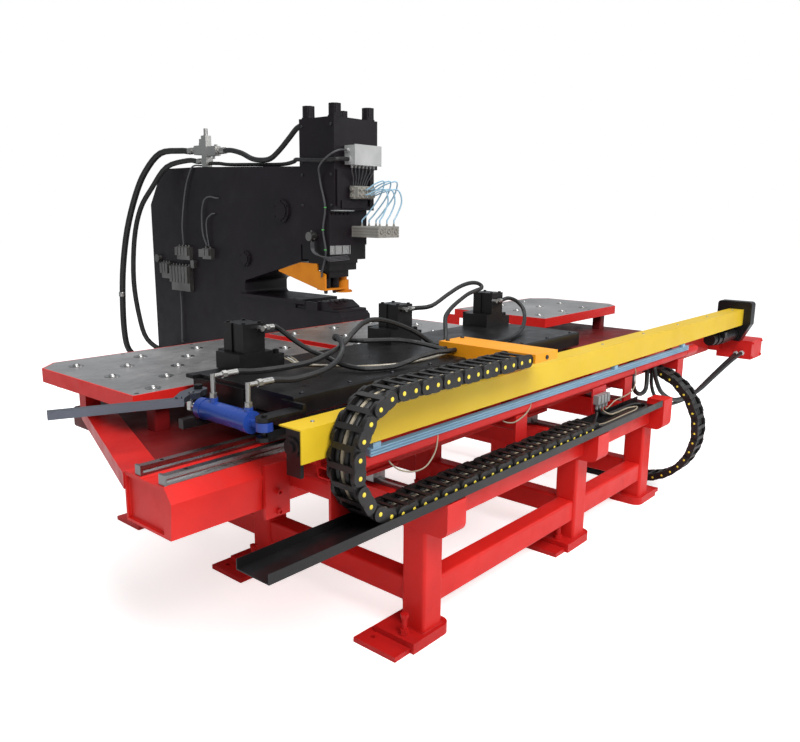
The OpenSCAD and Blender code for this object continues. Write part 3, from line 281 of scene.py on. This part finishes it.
RED = one("red_enamel", enamel, (0.70, 0.021, 0.016), (0.56, 0.013, 0.010), rough=0.38, wear_amount=0.25)
DEEP_RED = one("frame_red", enamel, (0.62, 0.018, 0.015), (0.44, 0.010, 0.009), rough=0.38, wear_amount=0.25)
# The deck's red is kept far darker than the frame's red. This is partly dust and dirt, and partly painted
# shade under the tables.
DECK_RED_DIRT_AND_SHADE = one("deck_red", enamel, (0.22, 0.008, 0.009), (0.07, 0.006, 0.006), rough=0.45, coat=0.0,
               wear_amount=0.3, dust=0.6, shine=0.25)
BLACK = one("press_black", enamel, *PRESS_TONES, rough=0.40, coat=0.0, wear=(0.08, 0.075, 0.08),
            wear_amount=0.25, dust=0.5, shine=0.22)
DARK = one("carriage_black", enamel, (0.0085, 0.0075, 0.0080), (0.004, 0.0035, 0.004), rough=0.32, coat=0.1,
           wear=(0.10, 0.10, 0.10), wear_amount=0.3, dust=0.5, shine=0.25)
YELLOW = one("cover_yellow", enamel, (0.70, 0.475, 0.024), (0.64, 0.41, 0.016), rough=0.36, wear_amount=0.10,
             dust=0.1)
BRACKET = one("bracket_yellow", enamel, (0.84, 0.34, 0.012), (0.76, 0.27, 0.008), rough=0.38,
              wear_amount=0.10, dust=0.1)
ORANGE = one("stripper_orange", enamel, (0.84, 0.30, 0.010), (0.55, 0.15, 0.006), rough=0.4, wear_amount=0.2)
PALE_BLUE = one("switch_bar_blue", enamel, (0.27, 0.42, 0.54), (0.18, 0.31, 0.42), rough=0.38,
                wear_amount=0.15)
BLUE = one("cylinder_blue", enamel, (0.022, 0.070, 0.34), (0.012, 0.035, 0.20), rough=0.28, coat=0.4,
           wear_amount=0.15)
CREAM = one("valve_cream", enamel, (0.36, 0.35, 0.31), (0.20, 0.19, 0.17), rough=0.42, dust=0.4,
            wear_amount=0.4)
CHAIN = one("chain_black", moulded, (0.0055, 0.0040, 0.0036), 0.50, dust=0.06)
RUBBER = one("hose_rubber", moulded, (0.0075, 0.0070, 0.0072), 0.46, 120.0)
VALVE = one("valve_grey", metal, (0.30, 0.29, 0.275), 0.38, (3, 3, 1), 0.35)
GREY_BOX = one("box_grey", moulded, (0.46, 0.47, 0.46), 0.5)
BEIGE = one("wire_beige", moulded, (0.40, 0.34, 0.24), 0.5)
WHITE = one("wire_white", moulded, (0.62, 0.60, 0.56), 0.5)
GREEN = one("tie_green", moulded, (0.10, 0.55, 0.12), 0.45)
PLUG = one("plug_yellow", moulded, (0.85, 0.66, 0.05), 0.4, 300.0, 0.85, 0.05)
PLATE = one("table_steel", metal, (0.72, 0.69, 0.675), 0.32, (1, 14, 1), 0.45, 22.0)
RAIL = one("rail_steel", metal, (0.34, 0.325, 0.325), 0.28, (0.4, 12, 12), 0.4)
CHROME = one("ball_steel", metal, (0.50, 0.49, 0.48), 0.20, (1, 1, 1), 0.6)
ZINC = one("zinc", metal, (0.46, 0.45, 0.43), 0.36, (3, 3, 1), 0.6)
ALLOY = one("arm_alloy", metal, (0.155, 0.165, 0.195), 0.42, (1, 16, 16), 0.7)
TOOL = one("tool_steel", metal, (0.07, 0.07, 0.075), 0.34, (8, 8, 1), 0.6)
# The second finish is a thin bright steel band along the head block, 1.437 m high. It is a painted highlight
# for the light that the block's edge catches there.
HEAD = two("head_black_and_steel", (enamel, *PRESS_TONES, 0.40, 0.0),
           (metal, (0.55, 0.55, 0.54), 0.34, (3, 3, 1)),
           ((0.305, 0.040, 1.4335), (0.490, 0.0999, 1.4405)))
HOUSING = two("housing_black_and_steel", (enamel, (0.009, 0.008, 0.009), (0.004, 0.0035, 0.004), 0.36, 0.1),
              (metal, (0.62, 0.62, 0.60), 0.30, (3, 1, 3)),
              ((0.305, 0.098, 1.160), (0.490, 0.110, 1.240)))
SIGNAL = two("cables_grey_and_blue", (moulded, (0.075, 0.075, 0.08), 0.45),
             (moulded, (0.36, 0.60, 0.76), 0.3),
             ((0.500, -0.300, 1.350), (0.900, -0.010, 1.640)),
             ((0.500, -0.300, 1.350), (0.900, 0.080, 1.585)))
CONNECTOR = two("connector_grey_and_red", (enamel, (0.60, 0.014, 0.014), (0.40, 0.006, 0.008)),
                (moulded, (0.30, 0.30, 0.30), 0.5), ((-0.10, -1.990, 0.570), (0.08, -1.9592, 0.641)))

LOOKS = {
    RED: ["legs", "y_beams", "x_beam", "table_edging", "frame_rails"],
    DEEP_RED: ["feet", "anchor_bolts", "saddles", "front_member", "side_brace", "right_end_box"],
    DECK_RED_DIRT_AND_SHADE: ["table_frames"],
    BLACK: ["cframe_body", "tie_rod_nuts", "die_holder"],
    DARK: ["carriage_beam", "clamp_bases", "clamp_cylinders", "arm_bracket", "belt_housing", "servo_motor",
           "cable_tray", "y_chain_tray"],
    HEAD: ["head_block"], HOUSING: ["punch_housing"], SIGNAL: ["signal_cables"],
    CONNECTOR: ["connector_bracket"],
    YELLOW: ["cover"], BRACKET: ["chain_bracket"], ORANGE: ["stripper"], PALE_BLUE: ["switch_bar"],
    BLUE: ["arm_cylinder"], CREAM: ["valve_block", "selector_bodies"], VALVE: ["side_valves"],
    CHAIN: ["y_chain_lower", "x_chain_lower", "x_chain_loop", "x_chain_upper", "y_chain_loop",
            "y_chain_upper"],
    RUBBER: ["pressure_hoses", "clamp_hoses"], GREY_BOX: ["junction_box"], PLATE: ["table_tops"],
    RAIL: ["y_guide_rails", "y_bearings", "x_rails"], CHROME: ["ball_transfers", "arm_rod"],
    ZINC: ["hydraulic_manifold", "hose_fittings"],
    ALLOY: ["locating_arm", "clamp_jaw_1", "clamp_jaw_2", "clamp_jaw_3"],
    TOOL: ["dies", "punch_1", "punch_2", "punch_3"],
}

for material, names in LOOKS.items():
    for name in names:
        for held in frame["nodes"][name].material_slots:
            held.material = material


# ---------- pieces ----------

def piece(name, verts, faces, material, body=None):
    """A smooth-shaded mesh object with one material, which rides on the body if one is given."""
    mesh = bpy.data.meshes.new(name)
    mesh.from_pydata([tuple(v) for v in verts], [], faces)
    mesh.materials.append(material)
    for face in mesh.polygons:
        face.use_smooth = True
    obj = bpy.data.objects.new(name, mesh)
    bpy.context.collection.objects.link(obj)
    if body:
        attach(obj, body)
    return obj


def smooth_line(points, step=0.012):
    """Points along a Catmull-Rom curve through the given points."""
    pts = [Vector(p) for p in points]
    pts = [2 * pts[0] - pts[1]] + pts + [2 * pts[-1] - pts[-2]]
    line = []
    for a, b, c, d in zip(pts, pts[1:], pts[2:], pts[3:]):
        count = max(2, round((c - b).length / step))
        for i in range(count):
            t = i / count
            line.append(0.5 * (2 * b + (c - a) * t + (2 * a - 5 * b + 4 * c - d) * t * t
                               + (3 * b - a - 3 * c + d) * t ** 3))
    return line + [pts[-2]]


def sweep(line, radius, sides=10):
    """Vertices and faces of a tube along a line; radius is a number or a function of the ring's index."""
    verts, faces = [], []
    turn = None
    for i, p in enumerate(line):
        ahead = (line[min(i + 1, len(line) - 1)] - line[max(i - 1, 0)]).normalized()
        side = turn if turn is not None else ahead.orthogonal()
        side = (side - ahead * side.dot(ahead)).normalized()
        turn, up = side, ahead.cross(side)
        r = radius(i) if callable(radius) else radius
        for k in range(sides):
            a = 2 * math.pi * k / sides
            verts.append(p + r * (math.cos(a) * side + math.sin(a) * up))
    for i in range(len(line) - 1):
        for k in range(sides):
            m = (k + 1) % sides
            faces.append((i * sides + k, i * sides + m, (i + 1) * sides + m, (i + 1) * sides + k))
    faces.append(tuple(reversed(range(sides))))
    faces.append(tuple((len(line) - 1) * sides + k for k in range(sides)))
    return verts, faces


def join(parts):
    verts, faces = [], []
    for some, loops in parts:
        start = len(verts)
        verts += some
        faces += [tuple(i + start for i in f) for f in loops]
    return verts, faces


def cable(name, points, radius, material, body, sides=10, step=0.012):
    verts, faces = sweep(smooth_line(points, step), radius, sides)
    return piece(name, verts, faces, material, body)


def lathe(centre, axis, outline, sides=14):
    """Vertices and faces of a turned shape; outline is (radius, distance along the axis) from foot to tip."""
    axis = Vector(axis).normalized()
    side = axis.orthogonal().normalized()
    up = axis.cross(side)
    verts, faces = [], []
    for r, h in outline:
        for k in range(sides):
            a = 2 * math.pi * k / sides
            verts.append(Vector(centre) + axis * h + r * (math.cos(a) * side + math.sin(a) * up))
    for i in range(len(outline) - 1):
        for k in range(sides):
            m = (k + 1) % sides
            faces.append((i * sides + k, i * sides + m, (i + 1) * sides + m, (i + 1) * sides + k))
    faces.append(tuple((len(outline) - 1) * sides + k for k in range(sides)))
    return verts, faces


SUNK = -0.0004      # how far a turned shape's foot goes into the surface that it stands on


def button(r, h):
    return [(r, SUNK), (r, h * 0.5), (r * 0.8, h), (r * 0.3, h * 1.1)]


def socket_screw(r, h):
    """A cap screw's head with its socket."""
    return [(r, SUNK), (r, h * 0.85), (r * 0.88, h), (r * 0.55, h), (r * 0.5, h * 0.45), (r * 0.05, h * 0.4)]


def plug_cap(r):
    """The shallow cap in a rail's or a table's screw hole."""
    return [(r, SUNK), (r, 0.0004), (r * 0.82, 0.0006), (r * 0.8, 0.0001), (r * 0.1, 0.0001)]


def studs(name, spots, axis, outline, material, body, sides=14):
    """Many equal turned shapes, as one object."""
    verts, faces = join([lathe(spot, axis, outline, sides) for spot in spots])
    return piece(name, verts, faces, material, body)


def middle(box, axis):
    return (box[0][axis] + box[1][axis]) / 2


# ---------- cable chains ----------

PLUG_HEIGHT = 0.0016


class Chain:
    """Where a chain's pivots are: its two straight runs and its loop, from the boxes of its lower and upper
    nodes.

    along and across are the numbers of the axes that it runs along and is wide in; counts are its links in
    the lower run, the loop and the upper run.
    """

    def __init__(self, prefix, along, across, counts):
        low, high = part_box(prefix + "_lower"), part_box(prefix + "_upper")
        self.prefix, self.along, self.across = prefix, along, across
        self.counts = counts
        half = (low[1].z - low[0].z) / 2
        self.start = low[0][along] + half
        self.bottom, self.top = middle(low, 2), middle(high, 2)
        self.radius = (self.top - self.bottom) / 2
        self.pitch = 2 * self.radius * math.sin(math.pi / 2 / counts[1])
        self.sides = (low[0][across], low[1][across])
        self.centre = middle(low, across)

    def at(self, run, height, shift=None):
        p = [0, 0, height]
        p[self.along] = run
        p[self.across] = self.centre if shift is None else shift
        return Vector(p)

    def pivots(self, part):
        if part == "lower":
            return [(self.start + i * self.pitch, self.bottom) for i in range(1, self.counts[0] + 1)]
        if part == "upper":
            return [(self.start + i * self.pitch, self.top) for i in range(1, self.counts[2] + 1)]
        turns = [math.pi * i / self.counts[1] for i in range(self.counts[1] + 1)]
        mid = self.bottom + self.radius
        return [(self.start - self.radius * math.sin(a), mid - self.radius * math.cos(a)) for a in turns]

    def buttons(self, part, radius):
        """Plugs on the outer plates. Inner and outer links alternate, and an inner end link has none."""
        spots = self.pivots(part)
        last_link = self.counts[0] if part == "lower" else self.counts[1] + self.counts[2] - 1
        if part != "loop" and last_link % 2 == 0:
            spots.pop()
        out = [0, 0, 0]
        shapes = []
        for side, sign in zip(self.sides, (-1, 1)):
            out[self.across] = sign
            for run, height in spots:
                shapes.append(lathe(self.at(run, height, side), out, button(radius, PLUG_HEIGHT), 12))
        if not shapes:
            return []
        verts, faces = join(shapes)
        return [piece(f"{self.prefix}_{part}_plugs", verts, faces, PLUG)]

    def hose(self, part, shift, radius, material):
        """A line inside the links: straight in a run, and round with the loop."""
        if part == "loop":
            spots = [(self.start, self.bottom)] + self.pivots("loop")[1:-1] + [(self.start, self.top)]
            line = [self.at(a, b, self.centre + shift) for a, b in spots]
            line = smooth_line(line, 0.02)
        else:
            ends = self.pivots(part)
            count = 3 * len(ends)
            last = ends[-1][0]
            line = [self.at(self.start + (last - self.start) * i / count, ends[0][1], self.centre + shift)
                    for i in range(count + 1)]
        verts, faces = sweep(line, radius, 10)
        name = f"{self.prefix}_{part}_line_{material.name}_{round(shift * 1000) + 100}"
        return piece(name, verts, faces, material)


def fill_chain(chain, bodies, lines, radius):
    """Plugs on the links and lines through them. The loop's pieces ride on the loop's body; the straight runs
    are copies of their nodes and stay where they are, with their pieces.
    """
    fixed, loop, moving = bodies
    for part in ("lower", "loop", "upper"):
        made = chain.buttons(part, radius)
        made += [chain.hose(part, shift, r, material) for shift, r, material in lines]
        if part == "loop":
            for obj in made:
                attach(obj, loop)
            continue
        node = frame["nodes"][f"{chain.prefix}_{part}"]
        links = node.copy()
        links.data = node.data.copy()
        links.name = f"{chain.prefix}_{part}_links"
        links.parent = None
        bpy.context.collection.objects.link(links)
        for key in list(links.keys()):
            del links[key]
        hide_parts(f"{chain.prefix}_{part}")
        made.append(links)
        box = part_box(f"{chain.prefix}_{part}")
        far = box[1][chain.along]
        for obj in made:
            if part == "lower":
                chain.at(far, 0)
                chain.at(chain.start, 0)
                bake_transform(obj)
            else:
                chain.at(2 * chain.start - far, 0)
                chain.at(far, 0)
                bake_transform(obj)


x_chain = Chain("x_chain", 0, 1, (24, 11, 13))
y_chain = Chain("y_chain", 1, 0, (12, 18, 1))
fill_chain(x_chain, ("gantry", "x_loop", "carriage"),
           [(-0.030, 0.010, RUBBER), (-0.006, 0.010, RUBBER), (0.014, 0.006, BEIGE), (0.031, 0.009, RUBBER)],
           0.0070)
fill_chain(y_chain, ("base", "y_loop", "gantry"),
           [(-0.028, 0.009, RUBBER), (-0.004, 0.009, RUBBER), (0.020, 0.009, RUBBER)], 0.0055)


# ---------- cables ----------

def lay_cables():
    """Lines from the X chain's fixed end to the connectors, and the ones that hang under the front member."""
    exit_x, exit_z, mid_y = x_chain.pivots("lower")[-1][0], x_chain.bottom, x_chain.centre
    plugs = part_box("connector_bracket")
    glands = [plugs[0].x + 0.020 + 0.030 * i for i in range(4)]
    gland_y, gland_z = plugs[0].y + 0.013, 0.578
    floor = 0.5285
    for name, gland, shift, r, material, back, turn in (
            ("feed_cable_a", glands[0], -0.006, 0.0075, RUBBER, None, None),
            ("feed_cable_b", glands[1], -0.030, 0.0075, RUBBER, -1.979, 0.335),
            ("feed_cable_c", glands[2], 0.014, 0.0040, BEIGE, -1.990, 0.285)):
        z = floor + r
        points = [(exit_x, mid_y + shift, exit_z), (exit_x + 0.05, mid_y + shift, exit_z - 0.008)]
        if turn:
            lane = -2.040 + shift * 0.5
            points += [(exit_x + 0.14, lane, z), (0.10, lane, z), (turn - 0.07, lane, z),
                       (turn - 0.02, lane + 0.012, z), (turn, (lane + back) / 2, z),
                       (turn - 0.02, back - 0.010, z), (turn - 0.07, back, z), (gland + 0.11, back, z),
                       (gland + 0.04, back, z + 0.006)]
        else:
            points += [(exit_x + 0.10, -2.010, z + 0.004), (gland - 0.035, -1.985, z + 0.004)]
        points += [(gland + 0.004, gland_y, gland_z - 0.018), (gland, gland_y, gland_z)]
        cable(name, points, r, material, "gantry", 10)
    low = 0.6694        # just inside the front member's underside
    for name, r, points in (
            ("gantry_cable_a", 0.011,
             [(1.9932, -1.960, 0.560), (1.930, -1.962, 0.556), (1.735, -1.964, 0.530), (1.494, -1.966, 0.488),
              (1.271, -1.966, 0.446), (1.101, -1.966, 0.435), (0.874, -1.966, 0.453), (0.700, -1.966, 0.520),
              (0.614, -1.966, 0.596), (0.600, -1.960, 0.640), (0.600, -1.952, low)]),
            ("gantry_cable_b", 0.011,
             [(0.600, -1.916, low), (0.598, -1.920, 0.630), (0.572, -1.930, 0.560), (0.500, -1.936, 0.545),
              (0.426, -1.938, 0.572), (0.392, -1.936, 0.622), (0.400, -1.930, 0.655), (0.404, -1.926, low)]),
            ("gantry_cable_c", 0.009,
             [(1.9932, -1.925, 0.552), (1.930, -1.926, 0.546), (1.720, -1.930, 0.512), (1.480, -1.934, 0.466),
              (1.260, -1.934, 0.418), (1.090, -1.934, 0.405), (0.860, -1.934, 0.425), (0.700, -1.934, 0.492),
              (0.640, -1.932, 0.560), (0.632, -1.930, 0.620), (0.632, -1.930, low)])):
        cable(name, points, r, RUBBER, "gantry", 12)
    ends = [(1.9938, -1.960, 0.560), (1.9938, -1.925, 0.552)]
    gland_shape = [(0.017, SUNK), (0.017, 0.008), (0.014, 0.009), (0.014, 0.022)]
    studs("gantry_cable_glands", ends, (-1, 0, 0), gland_shape, GREY_BOX, "gantry", 6)
    for i, points in enumerate((
            [(-1.182, -1.958, 0.7065), (-1.186, -1.962, 0.690), (-1.206, -1.968, 0.650),
             (-1.250, -1.966, 0.612), (-1.310, -1.962, 0.608), (-1.370, -1.955, 0.628),
             (-1.400, -1.944, 0.655), (-1.404, -1.936, low)],
            [(-0.597, -1.958, 0.7065), (-0.604, -1.962, 0.690), (-0.650, -1.966, 0.668),
             (-0.716, -1.964, 0.652), (-0.760, -1.952, 0.658), (-0.770, -1.940, low)],
            [(0.352, -1.958, 0.7065), (0.354, -1.963, 0.690), (0.344, -1.972, 0.640), (0.300, -1.978, 0.604),
             (0.213, -1.980, 0.592), (0.120, -1.978, 0.588), (0.080, -1.974, 0.572), (0.040, gland_y, 0.560),
             (0.034, gland_y, 0.5775)])):
        cable(f"switch_wire_{i + 1}", points, 0.0027, BEIGE, "gantry", 8, 0.008)
    for i in range(3):
        off = 0.007 * i
        cable(f"sensor_wire_{i + 1}",
              [(-1.357 + 2 * off, -1.3955, 0.912), (-1.350 + 2 * off, -1.410, 0.906),
               (-1.330 + off, -1.450, 0.893), (-1.250 + off, -1.560, 0.8905), (-1.160, -1.640 - off, 0.8905),
               (-1.050, -1.688 - off, 0.8905), (-0.920, -1.702 - off, 0.893), (-0.830, -1.708 - off, 0.900),
               (-0.780, -1.708 - off, 0.905)],
              0.0028, (BEIGE, WHITE, BEIGE)[i], "carriage", 8)


lay_cables()


# ---------- screws, caps and welds ----------

def along(a, b, step, inset=0.0):
    count = max(1, round((b - a - 2 * inset) / step))
    return [a + inset + (b - a - 2 * inset) * i / count for i in range(count + 1)]


def fasten():
    """Screws and caps on the cover, the carriage, the tables and the head."""
    cover_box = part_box("cover")
    spots = [(x, cover_box[0].y + 0.046, cover_box[1].z) for x in along(-1.70, 1.86, 0.45)]
    studs("cover_screws", spots, (0, 0, 1), socket_screw(0.006, 0.003), ZINC, "gantry")
    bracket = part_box("chain_bracket")
    spots = [(bracket[0].x + 0.0775, bracket[0].y, 0.919)]
    studs("bracket_screws", spots, (0, -1, 0), socket_screw(0.008, 0.005), TOOL, "carriage")
    spots = [(x, -1.675, bracket[1].z) for x in (bracket[0].x + 0.03, bracket[1].x - 0.03)]
    studs("bracket_bolts", spots, (0, 0, 1), socket_screw(0.008, 0.006), TOOL, "carriage")
    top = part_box("carriage_beam")
    spots = [(x, top[0].y + 0.022, top[1].z) for x in along(top[0].x, top[1].x, 0.195, 0.05)]
    studs("carriage_screws", spots, (0, 0, 1), socket_screw(0.007, 0.005), TOOL, "carriage")
    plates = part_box("table_tops")
    spots = []
    for x0, x1, y0, y1 in ((-1.840, -0.845, -1.225, -0.545), (-0.722, 0.148, -1.225, -0.560),
                           (0.738, 1.570, -1.222, -0.630)):
        spots += [(x, y, plates[1].z) for x in along(x0, x1, 0.32) for y in (y0, y1)
                  if not (x < -1.75 and y > -0.7)]
    studs("table_screws", spots, (0, 0, 1), plug_cap(0.008), TOOL, "gantry")
    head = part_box("head_block")
    spots = [(x, head[0].y + 0.0118, z) for x in (0.329, 0.627) for z in along(1.490, 1.670, 0.06)]
    studs("guide_screws", spots, (0, -1, 0), socket_screw(0.0065, 0.004), TOOL, "base")
    spots = [(0.302, y, z) for y in (0.080, 0.350) for z in (1.470, 1.660, 1.740, 1.960)]
    studs("head_side_screws", spots, (-1, 0, 0), socket_screw(0.010, 0.006), TOOL, "base")


def weld(name, lines, radius, material, body):
    """Fillet welds: low beads with the ripples of a hand-run pass."""
    parts = []
    for a, b in lines:
        a, b = Vector(a), Vector(b)
        count = max(4, round((b - a).length / 0.006))
        line = [a + (b - a) * i / count for i in range(count + 1)]
        parts.append(sweep(line, lambda i: radius * (0.86 + 0.14 * (i % 2)), 6))
    verts, faces = join(parts)
    return piece(name, verts, faces, material, body)


def frame_middle_row():
    """The middle row of legs is where the record's middle anchors are, less the anchors' own offset."""
    for mount in frame["record"]["mounts"]:
        if mount["name"] == "anchor_middle_row":
            return mount["pos_m"][0] + 0.150
    return 0.0


LEG_HALF = 0.050                        # half a leg tube's side
LEG_LINES = (-1.950, -1.146, -0.396)    # the legs' middles in Y
BAYS = ((-1.900, -1.196), (-1.096, -0.446))
RAIL_HALF = 0.040
RAIL_BOTTOM, RAIL_TOP = 0.120, 0.210
PLATE_TOP = 0.0382                      # just above the leg plates


def weld_frame():
    """Welds at the legs' feet, the low rails, the gantry's saddles and the beam's end plate."""
    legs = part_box("legs")
    rows = [legs[0].x + LEG_HALF, frame_middle_row(), legs[1].x - LEG_HALF]
    lines = []
    for x in rows:
        for y in LEG_LINES:
            corners = [(x + LEG_HALF * a, y + LEG_HALF * b) for a, b in ((-1, -1), (1, -1), (1, 1), (-1, 1))]
            lines += [((*p, PLATE_TOP), (*q, PLATE_TOP)) for p, q in zip(corners, corners[1:] + corners[:1])]
    weld("foot_welds", lines, 0.004, DEEP_RED, "base")
    lines = []
    for x in rows:
        left, right = x - RAIL_HALF, x + RAIL_HALF
        for y in [y for bay in BAYS for y in bay]:
            lines += [((side, y, RAIL_BOTTOM), (side, y, RAIL_TOP)) for side in (left, right)]
            lines.append(((left, y, RAIL_TOP), (right, y, RAIL_TOP)))
    weld("rail_welds", lines, 0.003, RED, "base")
    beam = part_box("x_beam")
    lines = [((x, beam[1].y, 0.575), (x, beam[1].y, 0.690)) for row in rows for x in (row - 0.08, row + 0.08)]
    weld("saddle_welds", lines, 0.003, RED, "gantry")
    end, front, back, low, high = beam[0].x + 0.0101, -1.7275, -1.544, 0.568, 0.690
    lines = [((end, front, low), (end, front, high)), ((end, back, low), (end, back, high)),
             ((end, front, low), (end, back, low))]
    weld("beam_end_welds", lines, 0.0025, RED, "gantry")


fasten()
weld_frame()


# ---------- small pieces on the press ----------

def hose_sleeves():
    """Crimped ends and clips on the hoses behind the press and at the head."""
    ferrule = [(0.0262, 0), (0.0268, 0.004), (0.0252, 0.012), (0.0268, 0.020), (0.0252, 0.028),
               (0.0262, 0.034)]
    made = lathe((-0.0155, 2.1422, 0.760), (0.02, 0, 1), ferrule, 18)
    piece("hose_ferrule", *made, ZINC, "base")
    tie = [(0.0085, -0.003), (0.0092, -0.002), (0.0092, 0.002), (0.0085, 0.003)]
    spots = [(0.2915, 0.150, 1.315), (0.2905, 0.126, 1.455), (0.2905, 0.128, 1.190)]
    studs("cable_ties", spots, (0, 0, 1), tie, GREEN, "base", 12)


hose_sleeves()
